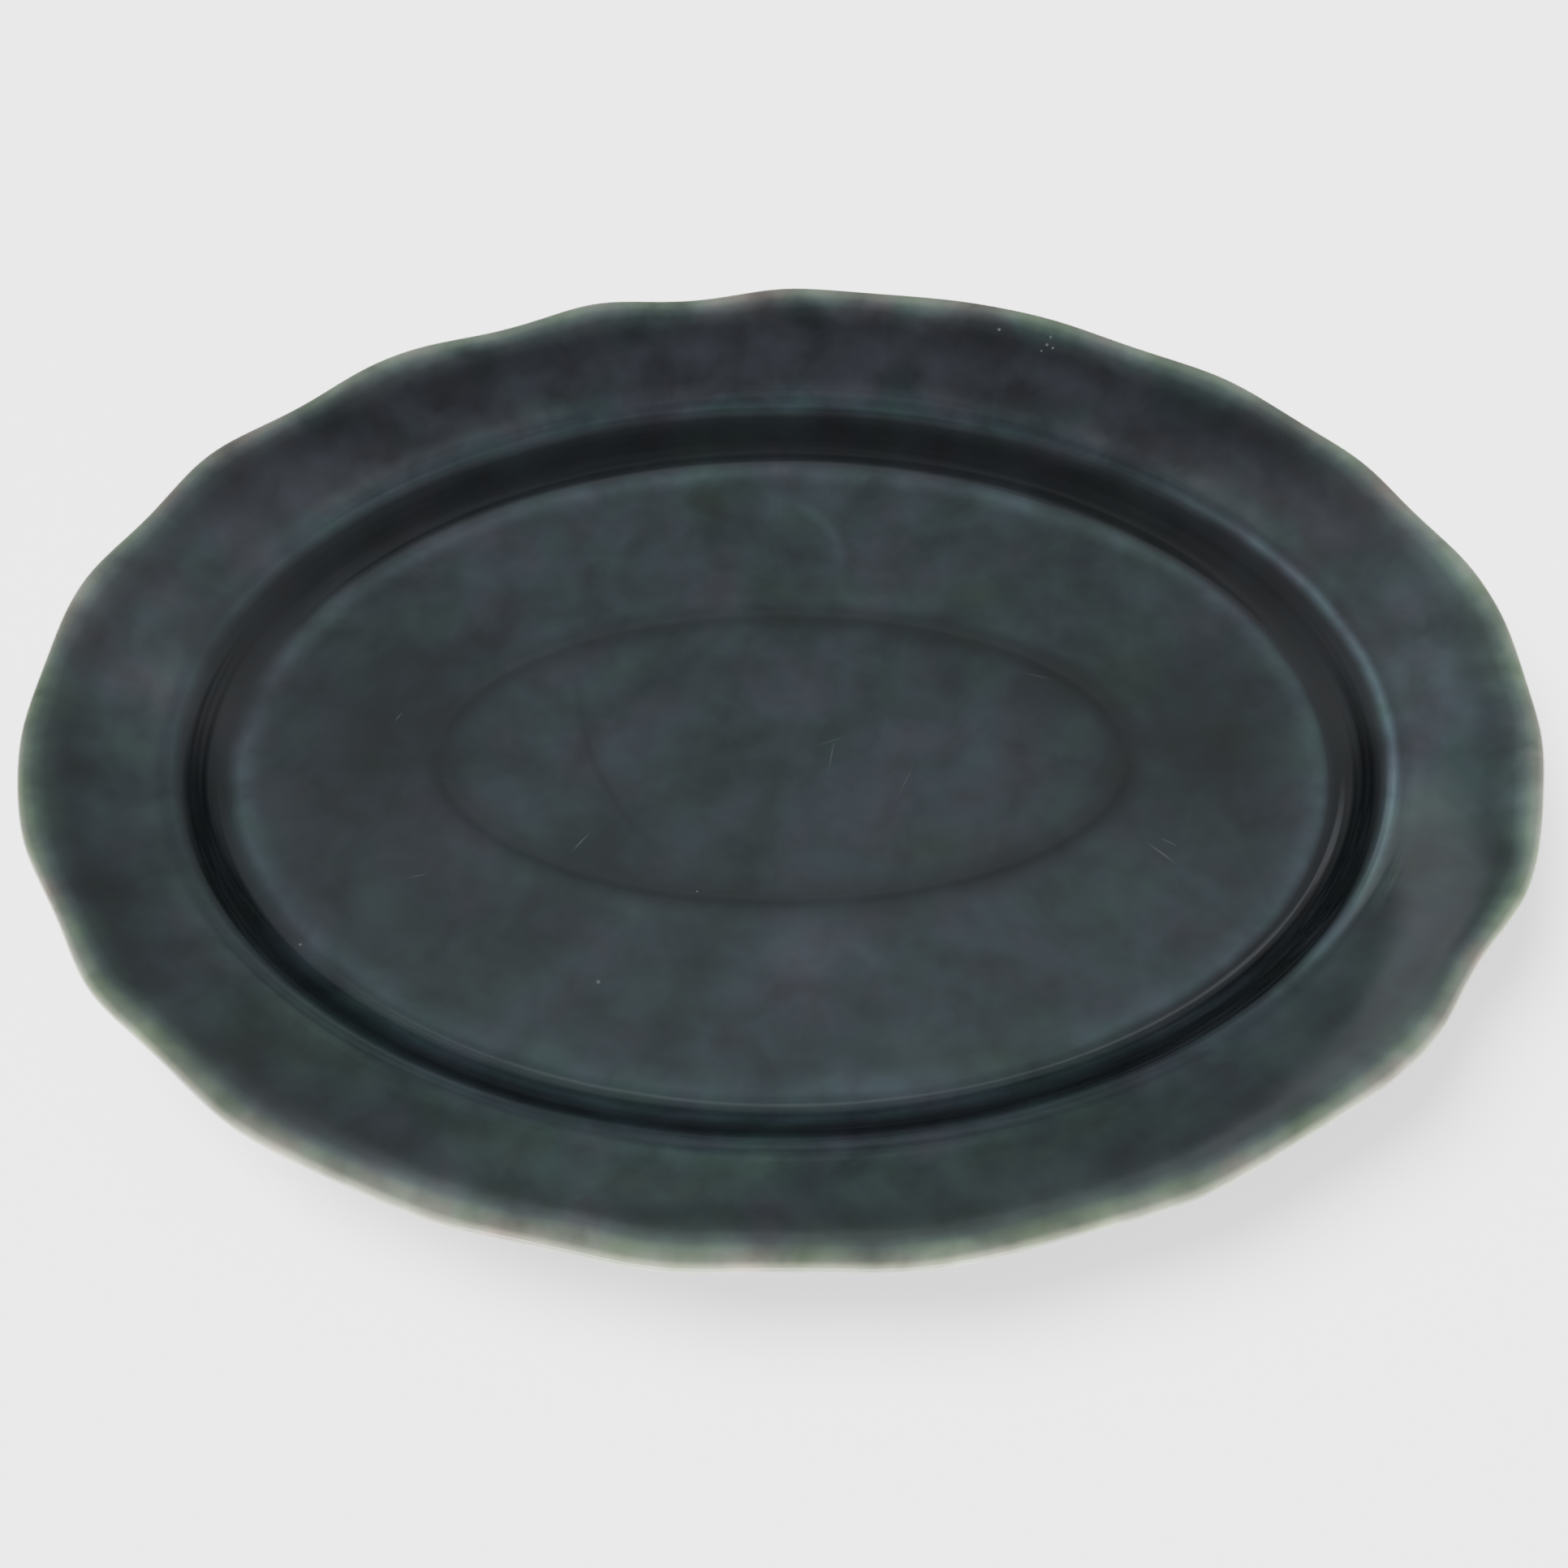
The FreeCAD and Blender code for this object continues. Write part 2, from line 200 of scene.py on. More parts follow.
def coat_mesh(name, rows, hub=True):
    """Closed mesh from rows of points round the platter. A fan to the middle
    closes the first and last row, or without a hub they join each other. The
    faces are turned over if the volume that they hold comes out negative."""
    n, m = rows.shape[:2]
    points = np.vstack([rows.reshape(-1, 5), rows[0].mean(0), rows[-1].mean(0)])
    i, j = np.arange(n - 1 if hub else n)[:, None], np.arange(m)
    k, below = (j + 1) % m, (i + 1) % n
    quads = np.stack([i * m + j, below * m + j, below * m + k, i * m + k], -1).reshape(-1, 4)
    last = (n - 1) * m
    fans = np.vstack([np.stack([np.full(m, n * m), j, k], -1),
                      np.stack([np.full(m, n * m + 1), last + k, last + j], -1)])
    if not hub:
        points, fans = points[:-2], fans[:0]
    a, b, c = points[quads[:, :3], :3].transpose(1, 0, 2)
    c2, d = points[quads[:, 2], :3], points[quads[:, 3], :3]
    volume = (a * np.cross(b, c)).sum() + (a * np.cross(c2, d)).sum()
    order = slice(None, None, -1 if volume < 0 else 1)
    mesh = bpy.data.meshes.new(name)
    mesh.from_pydata((points[:, :3] / 1000).tolist(), [],
                     quads[:, order].tolist() + fans[:, order].tolist())
    mesh.polygons.foreach_set("use_smooth", np.ones(len(mesh.polygons), bool))
    turn = np.arctan2(points[:, 1] / WIDTH, points[:, 0] / LENGTH)
    way = np.stack([np.cos(turn), np.sin(turn), points[:, 4]], 1)
    mesh.attributes.new("glaze_mm", "FLOAT", "POINT").data.foreach_set(
        "value", points[:, 3].astype(np.float32))
    mesh.attributes.new("way_round", "FLOAT_VECTOR", "POINT").data.foreach_set(
        "vector", way.astype(np.float32).ravel())
    mesh.update()
    normals = np.empty(len(mesh.vertices) * 3, np.float32)
    mesh.vertices.foreach_get("normal", normals)
    mesh.attributes.new("facing_up", "FLOAT", "POINT").data.foreach_set(
        "value", np.clip(2 * normals[2::3], 0, 1))
    piece = bpy.data.objects.new(name, mesh)
    bpy.context.scene.collection.objects.link(piece)
    return piece


def to_linear(colour):
    """sRGB hex, such as "#3a4446", as linear RGBA."""
    rgb = np.array([int(colour[i:i + 2], 16) for i in (1, 3, 5)]) / 255
    return (*np.where(rgb <= 0.04045, rgb / 12.92, ((rgb + 0.055) / 1.055) ** 2.4), 1.0)


def node(tree, kind, inputs=(), stops=(), **settings):
    """Adds a node, sets its properties, sets or links its inputs, and gives a
    colour ramp its (position, sRGB hex) stops. Returns the node's outputs."""
    made = tree.nodes.new(kind)
    for name, value in settings.items():
        setattr(made, name, value)
    for socket, value in dict(inputs).items():
        if isinstance(value, bpy.types.NodeSocket):
            tree.links.new(value, made.inputs[socket])
        else:
            made.inputs[socket].default_value = value
    for at, colour in stops[1:-1]:
        made.color_ramp.elements.new(at).color = to_linear(colour)
    for end in (0, -1) if stops else ():
        made.color_ramp.elements[end].position = stops[end][0]
        made.color_ramp.elements[end].color = to_linear(stops[end][1])
    return made.outputs


def soft_band(tree, value, centre, half_width):
    """Mask: 1 where the value is at the centre, easing to 0 half a width away."""
    away = node(tree, "ShaderNodeMath", {0: value, 1: centre}, operation="SUBTRACT")[0]
    size = node(tree, "ShaderNodeMath", {0: away}, operation="ABSOLUTE")[0]
    return node(tree, "ShaderNodeMapRange", {
        "Value": size, "From Min": half_width, "From Max": 0.0},
        interpolation_type="SMOOTHSTEP")[0]


def times(tree, *masks):
    """All the masks multiplied together."""
    product = masks[0]
    for mask in masks[1:]:
        product = node(tree, "ShaderNodeMath", {0: product, 1: mask}, operation="MULTIPLY")[0]
    return product


def shaded(tree, light, mask, strength):
    """Lightness raised, or lowered if the strength is negative, where the mask is 1."""
    change = node(tree, "ShaderNodeMath", {0: mask, 1: strength, 2: 1.0},
                  operation="MULTIPLY_ADD")[0]
    return times(tree, light, change)


def oval_patch(tree, plan, x, y, half_length, half_width):
    """Mask: 1 in the middle of an oval patch, easing to 0 at its edge."""
    out = node(tree, "ShaderNodeVectorMath", {0: plan, 1: (x, y, 0)}, operation="SUBTRACT")[0]
    out = node(tree, "ShaderNodeVectorMath", {0: out, 1: (1 / half_length, 1 / half_width, 0)},
               operation="MULTIPLY")[0]
    far = node(tree, "ShaderNodeVectorMath", {0: out}, operation="LENGTH")["Value"]
    return soft_band(tree, far, 0.0, 1.0)


# Faults of a hand-glazed, long used face, and some painted light, in millimetres from the middle.
# Arcs: centre, radius, middle and half of the angle they take, half width, strength.
ARCS = [(-5, 58, 20, 25, 65, 3.2, 0.42), (18, 23, 69, -155, 40, 2.0, -0.26)]
# Clouds, some of them painted light on the rim: centre, half length, half width, strength.
CLOUDS_AND_PAINTED_LIGHT = [
    # on the floor, large and then small
    (-100, 4, 38, 56, -0.6), (103, 6, 34, 56, -0.5), (0, -62, 110, 34, 0.16),
    (8, 44, 42, 6, 0.26), (-1, 65, 15, 12, -0.20), (-10, 23, 24, 9, -0.24),
    (-110, -34, 20, 14, -0.24), (-82, -44, 17, 12, -0.20), (105, -6, 15, 18, -0.22),
    (5, -54, 30, 8, 0.16), (-24, -60, 18, 9, -0.14), (-48, 50, 22, 10, -0.12),
    (60, 66, 20, 10, -0.10), (40, -72, 26, 9, 0.12),
    # the right, near right and near stretches of the rim made lighter: painted light and
    # painted reflection of the window there; and the left stretch made lighter
    (160, -2, 22, 78, 1.15), (120, -82, 46, 26, 0.34), (-20, -112, 130, 20, 0.45),
    (-156, 8, 18, 60, 0.5),
    # dark blotches near the lip
    (-162, -15, 8, 8, -0.5), (-150, -46, 9, 8, -0.4), (-135, -58, 12, 8, -0.3),
    (-112, -84, 22, 8, -0.3), (-118, 91, 24, 9, -0.4), (-86, 98, 18, 8, -0.25),
    (112, 88, 26, 10, -0.35), (100, -97, 22, 6, -0.25), (-20, -120, 24, 5, -0.3)]
# Where the glass has turned a yellower green: centre, half length, half width.
GREEN = [(38, -27, 22, 10), (30, -42, 12, 6), (43, -80, 26, 9), (-19, 76, 12, 9),
         (50, 47, 26, 10), (88, 21, 14, 16), (6, 47, 34, 8)]
# Knife marks: middle, direction in degrees, half length, strength.
SCRATCHES = [(-48, -25, 52, 4.0, 0.5), (12, -1, 80, 6.0, 0.35), (12, 3, 20, 5.0, 0.25),
             (90, -28, -42, 5.0, 0.6), (92, -25, -30, 3.0, 0.4), (-95, 10, 60, 2.0, 0.4),
             (-86, -34, 15, 3.0, 0.3), (30, -8, 65, 7.0, 0.22), (64, 22, -15, 5.0, 0.2)]
# Pinholes in the glaze: place and radius.
PINHOLES = [(-42, -61, 0.42), (-111, -52, 0.34), (58, 119, 0.4), (70.5, 114, 0.35),
            (72, 113, 0.3), (71.5, 116, 0.3), (69, 112.5, 0.25), (-20, -38, 0.22)]
SCRATCH_HALF_WIDTH, HOLE_SPREAD = 0.28, 1.6       # the soft edge of a hole is wider than it
# Bands round the face: inset, half width, strength. The first four change the
# lightness, and the last three how deep the glass looks. The shoulder sheen is a
# painted highlight. RIGHT_SHEEN is painted on, and stands in for light caught along
# the shoulder at the right end. The near lip's thinning is painted light, for the
# front light and highlight on that lip.
HALO, PAINTED_SHOULDER_SHEEN = (46.7, 5.5, 0.58), (28.5, 4.5, 0.30)
RIM_MOTTLE, RIGHT_SHEEN = (11.0, 7.0, -0.5), (32.2, 2.4, 2.0)
NEAR_LIP_PAINTED_LIGHT, THIN_NEAR_POOL = (0.0, 8.0, -0.24), (40.5, 6.0, -0.42)
DEEP_RIGHT_POOL = (42.5, 4.0, 0.5)
# Inset and half width of the rim band where violet is painted in as reflection, and of
# the ridged wall, and the half width of the ghost ring's shade.
REFLECTION_VIOLET_RIM, RIDGED_WALL, RING_SHADE_HALF_WIDTH = (18.0, 22.0), (37.0, 14.0), 7.5
# Sizes of the natural patterns, in metres.
CLOUD, DRIFT, PATCH, BLOTCH, RIPPLE = 0.024, 0.075, 0.018, 0.015, 0.016
RIPPLE_HEIGHT, RIDGE_HEIGHT, RIDGE_PITCH_MM = 0.00012, 0.00025, 2.2


# Celadon-type stoneware glaze, dipped and fired glossy: iron and cobalt in glass.
# Deep glaze is near black, thin glaze lets the pale clay through as green-grey
# and then cream, and it clouds in blotches a centimetre or two across.
def slate_glaze():
    material = bpy.data.materials.new("slate_celadon_glaze")
    material.use_nodes = True
    tree = material.node_tree
    shader = tree.nodes["Principled BSDF"]
    where = node(tree, "ShaderNodeTexCoord")["Object"]
    plan = node(tree, "ShaderNodeVectorMath", {0: where, 1: (1000, 1000, 0)},
                operation="MULTIPLY")[0]
    upper = node(tree, "ShaderNodeAttribute", attribute_name="facing_up")["Fac"]
    depth = node(tree, "ShaderNodeAttribute", attribute_name="glaze_mm")["Fac"]
    way = node(tree, "ShaderNodeAttribute", attribute_name="way_round")["Vector"]
    right, far_side, inset = node(tree, "ShaderNodeSeparateXYZ", {0: way})[:]

    # Depth of the glass, drifting a little from place to place, thinner towards the near side
    # and deeper in the pool at the right end. The near lip is thinned again, and so made
    # paler, as painted light for the front light and highlight on it.
    clouds = node(tree, "ShaderNodeTexNoise", {
        "Vector": where, "Scale": 1 / CLOUD, "Detail": 3.0, "Roughness": 0.55})["Fac"]
    drift = node(tree, "ShaderNodeTexNoise", {
        "Vector": where, "Scale": 1 / DRIFT, "Detail": 1.0})["Fac"]
    both = node(tree, "ShaderNodeMath", {0: clouds, 1: drift}, operation="ADD")[0]
    swing = node(tree, "ShaderNodeMapRange", {
        "Value": both, "From Min": 0.6, "From Max": 1.4, "To Min": 0.9, "To Max": 1.1})[0]
    near_thin = node(tree, "ShaderNodeMapRange", {
        "Value": far_side, "From Min": -1.0, "From Max": 0.5, "To Min": 0.93, "To Max": 1.0})[0]
    near_side = soft_band(tree, far_side, -1.0, 0.9)
    clouded = times(tree, depth, swing, near_thin)
    right_end = soft_band(tree, right, 1.0, 0.7)
    # The first of these, on the near lip, is painted light: the thinner glass there shows the
    # front light and highlight that the near lip catches.
    for side, (centre, half_width, change) in (
            (near_side, NEAR_LIP_PAINTED_LIGHT), (times(tree, upper, near_side), THIN_NEAR_POOL),
            (times(tree, upper, right_end), DEEP_RIGHT_POOL)):
        here = times(tree, side, soft_band(tree, inset, centre, half_width))
        clouded = shaded(tree, clouded, here, change)
    colour = node(tree, "ShaderNodeValToRGB", {"Fac": clouded}, [
        (0.13, "#dadbc0"), (0.18, "#b5baa4"), (0.225, "#919c8c"), (0.26, "#697670"),
        (0.30, "#485352"), (0.35, "#384245"), (0.40, "#394448"), (0.50, "#414d51"),
        (0.60, "#343e42"), (0.72, "#20262a"), (0.95, "#171b1e")])["Color"]

    # Green-grey and violet-grey patches. The lean to violet on the far rim is painted
    # reflection of the dark, warm ceiling that the far rim mirrors.
    patches = node(tree, "ShaderNodeTexNoise", {
        "Vector": where, "Scale": 1 / PATCH, "Detail": 2.0, "Distortion": 0.2})["Fac"]
    # Painted reflection: the patches lean to violet on the far rim.
    violet = node(tree, "ShaderNodeMapRange", {
        "Value": far_side, "From Min": -0.2, "From Max": 1.0, "To Min": -0.07, "To Max": 0.32})[0]
    patches = node(tree, "ShaderNodeMath", {
        0: soft_band(tree, inset, *REFLECTION_VIOLET_RIM), 1: violet, 2: patches},
        operation="MULTIPLY_ADD")[0]
    tone = node(tree, "ShaderNodeValToRGB", {"Fac": patches},
                [(0.36, "#c4ddc8"), (0.50, "#d0dadc"), (0.76, "#eac4d4")])["Color"]
    tinted = node(tree, "ShaderNodeMix", {0: 0.75, 6: colour, 7: tone},
                  data_type="RGBA", blend_type="MULTIPLY")[2]
    for patch in GREEN:
        here = times(tree, upper, oval_patch(tree, plan, *patch), clouds)
        tinted = node(tree, "ShaderNodeMix", {0: here, 6: tinted, 7: to_linear("#d9e6b4")},
                      data_type="RGBA", blend_type="MULTIPLY")[2]

    # Lightness: blotches, the halo inside the pooled band, painted highlights on the
    # shoulder, the ghost ring, faults, and painted light on the rim.
    blotches = node(tree, "ShaderNodeTexNoise", {
        "Vector": where, "Scale": 1 / BLOTCH, "Detail": 3.0, "Distortion": 0.25})["Fac"]
    light = node(tree, "ShaderNodeMapRange", {
        "Value": blotches, "From Min": 0.3, "From Max": 0.7, "To Min": 0.60, "To Max": 1.40})[0]
    right_side = soft_band(tree, right, 1.0, 0.35)
    # The shoulder sheen and the right sheen here are painted highlights.
    for (centre, half_width, strength), only in (
            (HALO, 1.0), (PAINTED_SHOULDER_SHEEN, 1.0), (RIM_MOTTLE, clouds), (RIGHT_SHEEN, right_side)):
        mask = times(tree, upper, soft_band(tree, inset, centre, half_width), only)
        light = shaded(tree, light, mask, strength)
    ring_depth = node(tree, "ShaderNodeMapRange", {
        "Value": right, "From Min": -1.0, "From Max": 1.0, "To Min": -0.42, "To Max": -0.62})[0]
    ring = soft_band(tree, inset, RING_INSET, RING_SHADE_HALF_WIDTH)
    light = shaded(tree, light, times(tree, upper, ring), ring_depth)
    for x, y, radius, turn, half_turn, half_width, strength in ARCS:
        out = node(tree, "ShaderNodeVectorMath", {0: plan, 1: (x, y, 0)}, operation="SUBTRACT")[0]
        far = node(tree, "ShaderNodeVectorMath", {0: out}, operation="LENGTH")["Value"]
        east, north = node(tree, "ShaderNodeSeparateXYZ", {0: out})[:2]
        angle = node(tree, "ShaderNodeMath", {0: north, 1: east}, operation="ARCTAN2")[0]
        line = times(tree, upper, soft_band(tree, far, radius, half_width), soft_band(
            tree, angle, math.radians(turn), math.radians(half_turn)))
        light = shaded(tree, light, line, strength)
    # Some of these clouds, on the rim, are painted light.
    for *patch, strength in CLOUDS_AND_PAINTED_LIGHT:
        light = shaded(tree, light, times(tree, upper, oval_patch(tree, plan, *patch)), strength)
    lit = node(tree, "ShaderNodeVectorMath", {0: tinted, "Scale": light}, operation="SCALE")[0]

    # Knife marks and pinholes show the pale, scratched glass and the clay.
    marks = 0.0
    for x, y, turn, half_length, strength in SCRATCHES:
        turned = node(tree, "ShaderNodeMapping", {
            "Vector": plan, "Location": (x, y, 0), "Rotation": (0, 0, math.radians(turn))},
            vector_type="TEXTURE")[0]
        down, across = node(tree, "ShaderNodeSeparateXYZ", {0: turned})[:2]
        line = times(tree, upper, soft_band(tree, across, 0.0, SCRATCH_HALF_WIDTH),
                     soft_band(tree, down, 0.0, half_length), strength)
        marks = node(tree, "ShaderNodeMath", {0: marks, 1: line}, operation="MAXIMUM")[0]
    for x, y, radius in PINHOLES:
        far = node(tree, "ShaderNodeVectorMath", {0: plan, 1: (x, y, 0)},
                   operation="DISTANCE")["Value"]
        hole = times(tree, upper, soft_band(tree, far, 0.0, HOLE_SPREAD * radius))
        marks = node(tree, "ShaderNodeMath", {0: marks, 1: hole}, operation="MAXIMUM")[0]
    marked = node(tree, "ShaderNodeMix", {0: marks, 6: lit, 7: to_linear("#868e8a")},
                  data_type="RGBA")[2]
    tree.links.new(marked, shader.inputs["Base Color"])

    # Hand-pressed clay leaves a slow ripple, and the mould faint ridges round the wall.
    ripple = node(tree, "ShaderNodeTexNoise", {
        "Vector": where, "Scale": 1 / RIPPLE, "Detail": 1.0})["Fac"]
    round_wall = node(tree, "ShaderNodeVectorMath", {0: way, 1: (1.5, 1.5, 1 / RIDGE_PITCH_MM)},
                      operation="MULTIPLY")[0]
    ridges = node(tree, "ShaderNodeTexNoise", {
        "Vector": round_wall, "Scale": 1.0, "Detail": 1.0})["Fac"]
    wall = soft_band(tree, inset, *RIDGED_WALL)
    bump = node(tree, "ShaderNodeBump", {
        "Height": ripple, "Distance": RIPPLE_HEIGHT, "Strength": 1.0})[0]
    bump = node(tree, "ShaderNodeBump", {
        "Height": times(tree, ridges, wall), "Distance": RIDGE_HEIGHT, "Strength": 1.0,
        "Normal": bump})[0]
    tree.links.new(bump, shader.inputs["Normal"])
    shader.inputs["Roughness"].default_value = 0.09
    shader.inputs["IOR"].default_value = 1.5
    return material


glaze = slate_glaze()
glaze_coat = coat_mesh("glaze_coat", glaze_shell())
glaze_coat.data.materials.append(glaze)
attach(glaze_coat, "root")
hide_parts("face_glaze", "lip_glaze", "underside_glaze")

# ---------------------------------------------------------------------------
# Glaze under the floor: the same glass, poured between the two rings and in
# the middle. It runs up in a small fillet against each ring and stops where
# the rings were wiped.
# ---------------------------------------------------------------------------
SUPPORT_ROOT_WIDTH = 5.5
under_z = FOOT_HEIGHT - GLAZE_UNDER
THIN_EDGE = 0.12                                  # glaze left at the wiped line
EDGE_DEPTHS = [0.2, 0.27]                         # and in the two rows above it
RING_FILLET = 1.3                                 # run of the glaze out from a ring


def side_rows(root, lean):
    """Glaze on one side of a ring, from the wiped line up to the floor: control
    rows that swell from the thin edge to full depth and stand off the clay."""
    off = math.copysign(1.0, lean)
    rows = []
    for z, thick in ((GLAZE_STOP, THIN_EDGE), (GLAZE_STOP + 0.25, GLAZE_UNDER),
                     (2.0, GLAZE_UNDER), (under_z, GLAZE_UNDER)):
        rows.append((root - lean * (FOOT_HEIGHT - z) + off * thick, z))
    return rows + [(rows[-1][0] + off * RING_FILLET, under_z)]


foot_side = foot_inset + FOOT_ROOT_WIDTH
support_out = RING_INSET - SUPPORT_ROOT_WIDTH / 2
support_in = RING_INSET + SUPPORT_ROOT_WIDTH / 2
wiped_drop = FOOT_HEIGHT - GLAZE_STOP

near_rows, far_rows = side_rows(foot_side, RING_LEAN), side_rows(support_out, -RING_LEAN)
level = [(inset, under_z) for inset in np.linspace(near_rows[-1][0], far_rows[-1][0], 9)[1:-1]]
outside = near_rows + level + far_rows[::-1]
depths = EDGE_DEPTHS + [GLAZE_UNDER] * (len(outside) - 4) + EDGE_DEPTHS[::-1]
against_clay = [(support_out + RING_LEAN * wiped_drop, GLAZE_STOP), (support_out, FOOT_HEIGHT),
                (foot_side, FOOT_HEIGHT), (foot_side - RING_LEAN * wiped_drop, GLAZE_STOP)]
foot_well_coat = coat_mesh("foot_well_coat", np.concatenate([
    stretch(outside, depths, 3), stretch(against_clay, GLAZE_UNDER, 2, 1)]), hub=False)

centre_rows = side_rows(support_in, RING_LEAN)
outside = [(centre_rows[-1][0] + step, under_z) for step in (6.0, 4.0, 2.0)] + centre_rows[::-1]
depths = [GLAZE_UNDER] * (len(outside) - 2) + EDGE_DEPTHS[::-1]
rows_out = stretch(outside, depths, 3)
rows_in = stretch([(support_in - RING_LEAN * wiped_drop, GLAZE_STOP), (support_in, FOOT_HEIGHT)],
                  GLAZE_UNDER, 2, 1)
centre_coat = coat_mesh("centre_coat", np.concatenate([
    middle(rows_out[0], 12), rows_out, rows_in, middle(rows_in[-1], 3)[::-1]]))

for coat, cad_node in ((foot_well_coat, "foot_well_glaze"), (centre_coat, "centre_glaze")):
    coat.data.materials.append(glaze)
    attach(coat, "root")
    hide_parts(cad_node)


# ---------------------------------------------------------------------------
# Clay: the pressed body and its two luted rings, fired buff stoneware. Only the
# rings' lower sides and bearing faces are bare, rubbed smooth and greyed by use.
# ---------------------------------------------------------------------------
FIRING, GRIT, GRAIN, GRAIN_HEIGHT = 0.012, 0.0016, 0.0005, 0.00008     # metres


def buff_stoneware():
    """Fired clay: buff with iron specks under half a millimetre, dry and finely
    gritty, and grey and smoother where it has rubbed on tables."""
    material = bpy.data.materials.new("fired_buff_stoneware")
    material.use_nodes = True
    tree = material.node_tree
    shader = tree.nodes["Principled BSDF"]
    where = node(tree, "ShaderNodeTexCoord")["Object"]
    height = node(tree, "ShaderNodeSeparateXYZ", {0: where})["Z"]
    firing = node(tree, "ShaderNodeTexNoise", {
        "Vector": where, "Scale": 1 / FIRING, "Detail": 3.0})["Fac"]
    body = node(tree, "ShaderNodeValToRGB", {"Fac": firing},
                [(0.35, "#b3a283"), (0.65, "#cdbd9c")])["Color"]
    grit = node(tree, "ShaderNodeTexVoronoi", {"Vector": where, "Scale": 1 / GRIT})
    speck = node(tree, "ShaderNodeMath", {0: grit["Distance"], 1: 0.22}, operation="LESS_THAN")[0]
    few = node(tree, "ShaderNodeSeparateColor", {0: grit["Color"]})[0]
    few = node(tree, "ShaderNodeMath", {0: few, 1: 0.8}, operation="GREATER_THAN")[0]
    specked = node(tree, "ShaderNodeMix", {0: times(tree, speck, few), 6: body,
                                           7: to_linear("#5d4630")}, data_type="RGBA")[2]
    rubbed = node(tree, "ShaderNodeMapRange", {
        "Value": height, "From Min": 0.0006, "From Max": 0.0002, "To Max": 1.0})[0]
    stained = times(tree, rubbed, firing)
    worn = node(tree, "ShaderNodeMix", {0: stained, 6: specked, 7: to_linear("#7d776a")},
                data_type="RGBA")[2]
    tree.links.new(worn, shader.inputs["Base Color"])
    dry = node(tree, "ShaderNodeMapRange", {"Value": rubbed, "To Min": 0.85, "To Max": 0.6})[0]
    tree.links.new(dry, shader.inputs["Roughness"])
    grain = node(tree, "ShaderNodeTexNoise", {
        "Vector": where, "Scale": 1 / GRAIN, "Detail": 2.0})["Fac"]
    bump = node(tree, "ShaderNodeBump", {"Height": grain, "Distance": GRAIN_HEIGHT})[0]
    tree.links.new(bump, shader.inputs["Normal"])
    return material


stoneware = buff_stoneware()
for name in ("platter_body", "foot_ring", "support_ring"):
    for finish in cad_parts[name].material_slots:
        finish.material = stoneware

# ---------------------------------------------------------------------------
# Studio: a pale floor that glows a little, a soft dome that is brightest part of
# the way up at the back left, a lamp for the floor and a low strip in front for
# the lip.
# ---------------------------------------------------------------------------
FLOOR_HALF = 4.0
corners = [(-1, -1), (1, -1), (1, 1), (-1, 1)]
floor_mesh = bpy.data.meshes.new("studio_floor")
floor_mesh.from_pydata([(x * FLOOR_HALF, y * FLOOR_HALF, 0) for x, y in corners], [],
                       [(0, 1, 2, 3)])
floor = bpy.data.objects.new("studio_floor", floor_mesh)
bpy.context.scene.collection.objects.link(floor)
floor_paint = bpy.data.materials.new("white_light_table")
floor_paint.use_nodes = True
paint = floor_paint.node_tree.nodes["Principled BSDF"].inputs
paint["Base Color"].default_value = to_linear("#e9e9e8")
paint["Roughness"].default_value = 0.9
paint["Emission Color"].default_value = to_linear("#fdfdfd")
paint["Emission Strength"].default_value = 1.35
floor_mesh.materials.append(floor_paint)

world = bpy.data.worlds.new("studio_dome")
world.use_nodes = True
dome = world.node_tree
toward = node(dome, "ShaderNodeVectorMath", {
    0: node(dome, "ShaderNodeTexCoord")["Generated"]}, operation="NORMALIZE")[0]
side_x, side_y, up = node(dome, "ShaderNodeSeparateXYZ", {0: toward})[:]
left = node(dome, "ShaderNodeMath", {0: side_x, 1: -1.0}, operation="MULTIPLY")[0]
bearing = node(dome, "ShaderNodeMath", {0: left, 1: side_y}, operation="ARCTAN2")[0]
# The window fills the bearings from straight back to 45 degrees round to the left,
# between about 30 and 47 degrees up. Each soft edge is where it starts and is full.
WINDOW_STRENGTH = 0.95
window = WINDOW_STRENGTH
for value, start, full in ((bearing, math.radians(-7), math.radians(6)),
                           (bearing, math.radians(45), math.radians(25)),
                           (up, math.sin(math.radians(30)), math.sin(math.radians(34))),
                           (up, math.sin(math.radians(47)), math.sin(math.radians(40)))):
    edge = node(dome, "ShaderNodeMapRange", {"Value": value, "From Min": start, "From Max": full},
                interpolation_type="SMOOTHSTEP")[0]
    window = times(dome, edge, window)
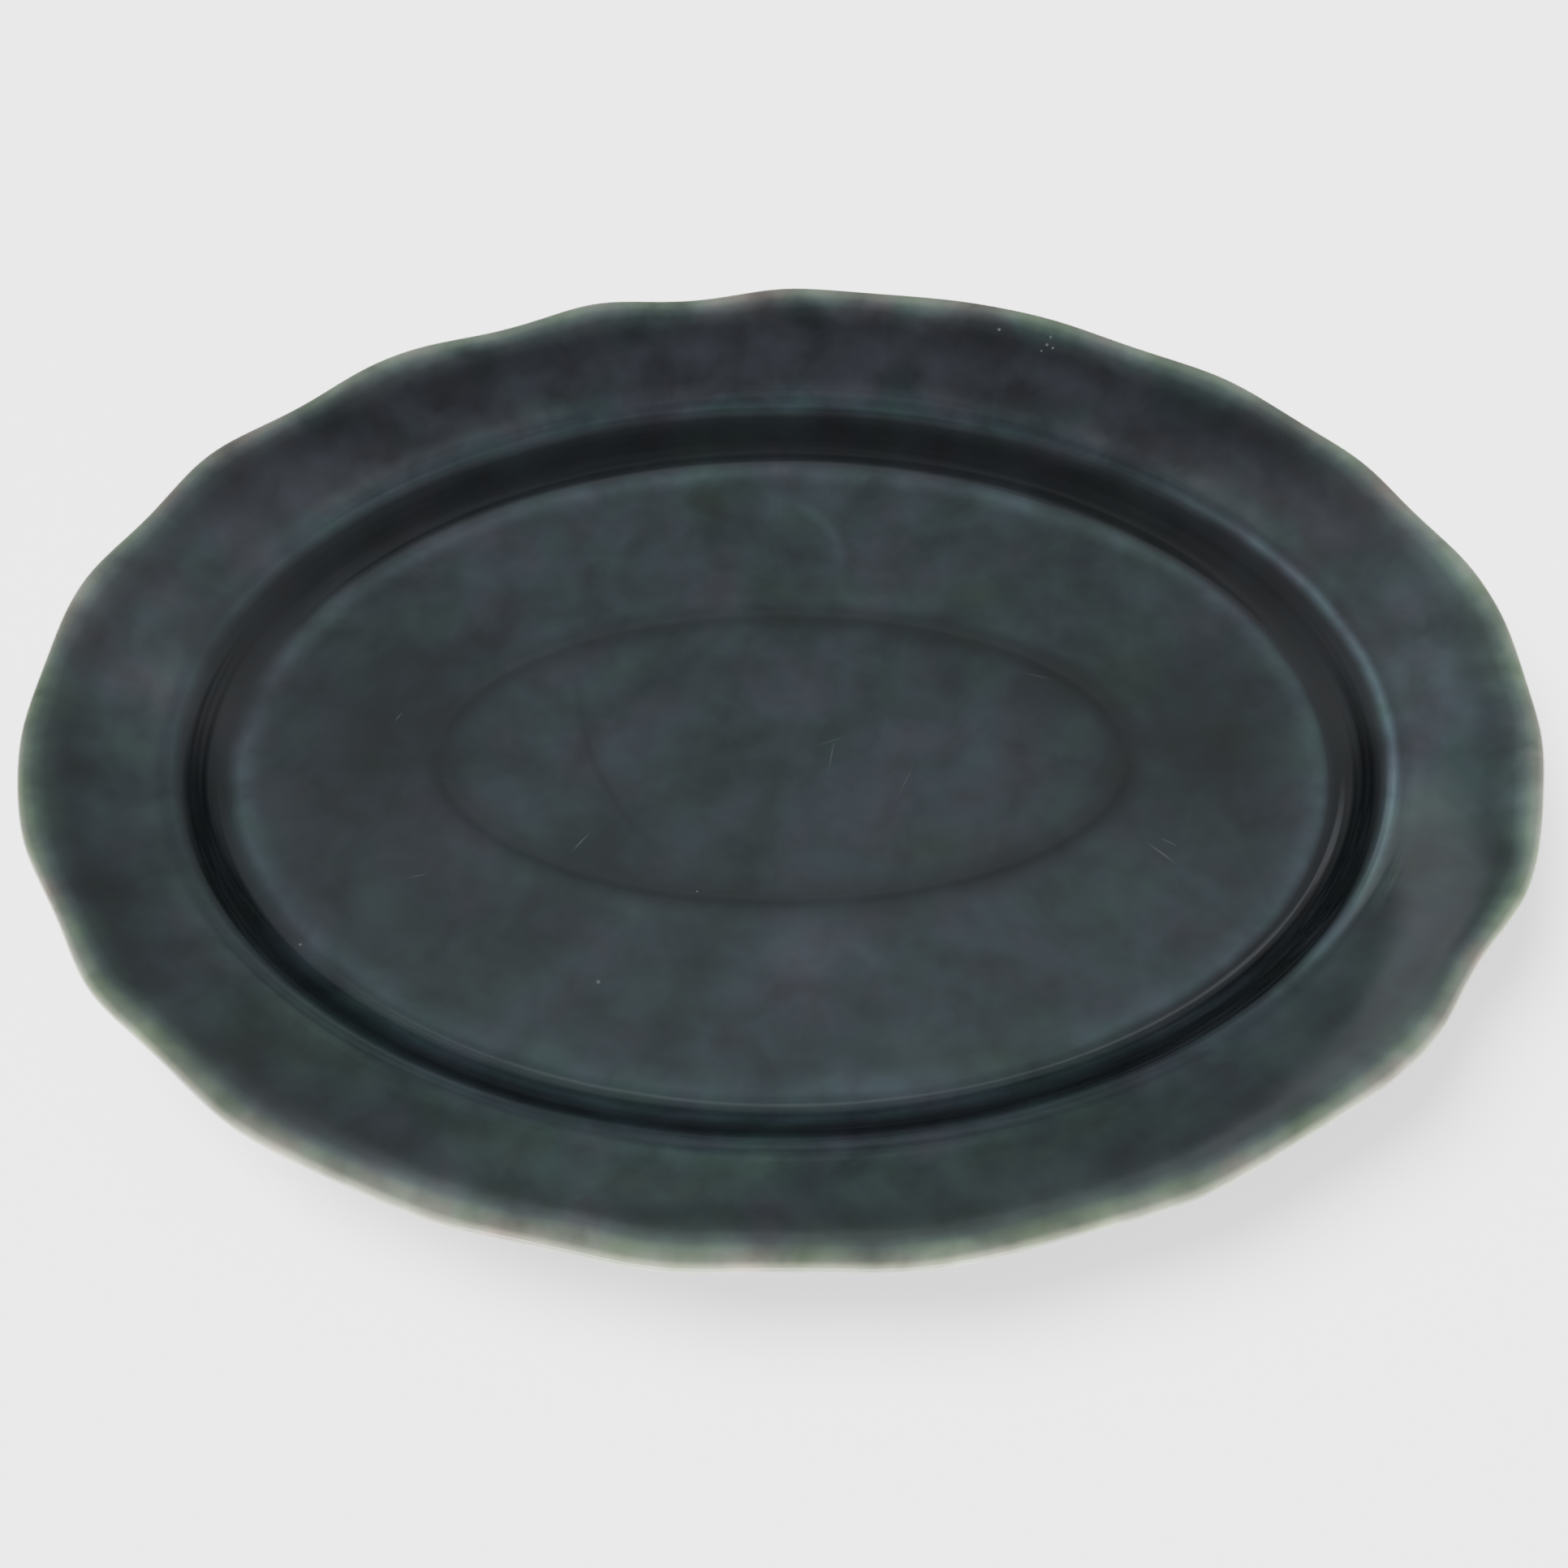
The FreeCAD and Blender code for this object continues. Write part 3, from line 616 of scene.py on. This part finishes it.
# Haze over the whole dome: more at the back than in front, but less straight back,
# near the horizon and overhead.
haze = node(dome, "ShaderNodeMapRange", {
    "Value": side_y, "From Min": -0.9, "From Max": 0.4, "To Min": 0.25, "To Max": 1.0},
    interpolation_type="SMOOTHSTEP")[0]
fall = node(dome, "ShaderNodeMapRange", {
    "Value": side_y, "From Min": 0.37, "From Max": 0.62, "To Min": 1.0, "To Max": 0.70},
    interpolation_type="SMOOTHSTEP")[0]
low = node(dome, "ShaderNodeMapRange", {
    "Value": up, "From Min": 0.10, "From Max": 0.56, "To Min": 0.12, "To Max": 1.0},
    interpolation_type="SMOOTHSTEP")[0]
over = node(dome, "ShaderNodeMapRange", {
    "Value": up, "From Min": 0.93, "From Max": 0.99, "To Min": 1.0, "To Max": 0.45},
    interpolation_type="SMOOTHSTEP")[0]
haze = times(dome, haze, fall, low, over)
strength = node(dome, "ShaderNodeMath", {0: window, 1: haze}, operation="ADD")[0]
dome.links.new(strength, dome.nodes["Background"].inputs["Strength"])
dome.nodes["Background"].inputs["Color"].default_value = to_linear("#f3f7fc")
bpy.context.scene.world = world


def lamp(name, kind, place, energy, colour):
    """Light of one kind at a place, turned to face the origin."""
    light = bpy.data.lights.new(name, kind)
    light.energy = energy
    light.color = to_linear(colour)[:3]
    made = bpy.data.objects.new(name, light)
    made.location = place
    made.rotation_euler = (-Vector(place)).to_track_quat("-Z", "Y").to_euler()
    bpy.context.scene.collection.objects.link(made)
    return made


# The floor's own lamp lights nothing else, so the platter keeps its soft light
# and still drops a shadow to the front right.
floor_lamp = lamp("floor_lamp", "SUN", (-0.65, 0.30, 1.2), 10.0, "#ffffff")
floor_lamp.data.angle = math.radians(38)
floor_only = bpy.data.collections.new("lit_by_floor_lamp")
floor_only.objects.link(floor)
floor_lamp.light_linking.receiver_collection = floor_only

strip = lamp("front_strip", "AREA", (0.0, -1.6, 0.18), 24.0, "#ffffff")
strip.data.shape = "RECTANGLE"
strip.data.size, strip.data.size_y = 1.6, 0.15

ELEVATION = math.radians(59.5)
STAND_OFF, AIM_HEIGHT = 0.4573, 0.008
camera_data = bpy.data.cameras.new("camera")
camera_data.lens = 42.9
camera_data.sensor_width = 36.0
camera_data.shift_x = 0.001
camera_data.shift_y = -0.0207
camera = bpy.data.objects.new("camera", camera_data)
camera.location = (0.0, -STAND_OFF * math.cos(ELEVATION),
                   AIM_HEIGHT + STAND_OFF * math.sin(ELEVATION))
camera.rotation_euler = (math.pi / 2 - ELEVATION, 0.0, 0.0)
bpy.context.scene.collection.objects.link(camera)
bpy.context.scene.camera = camera
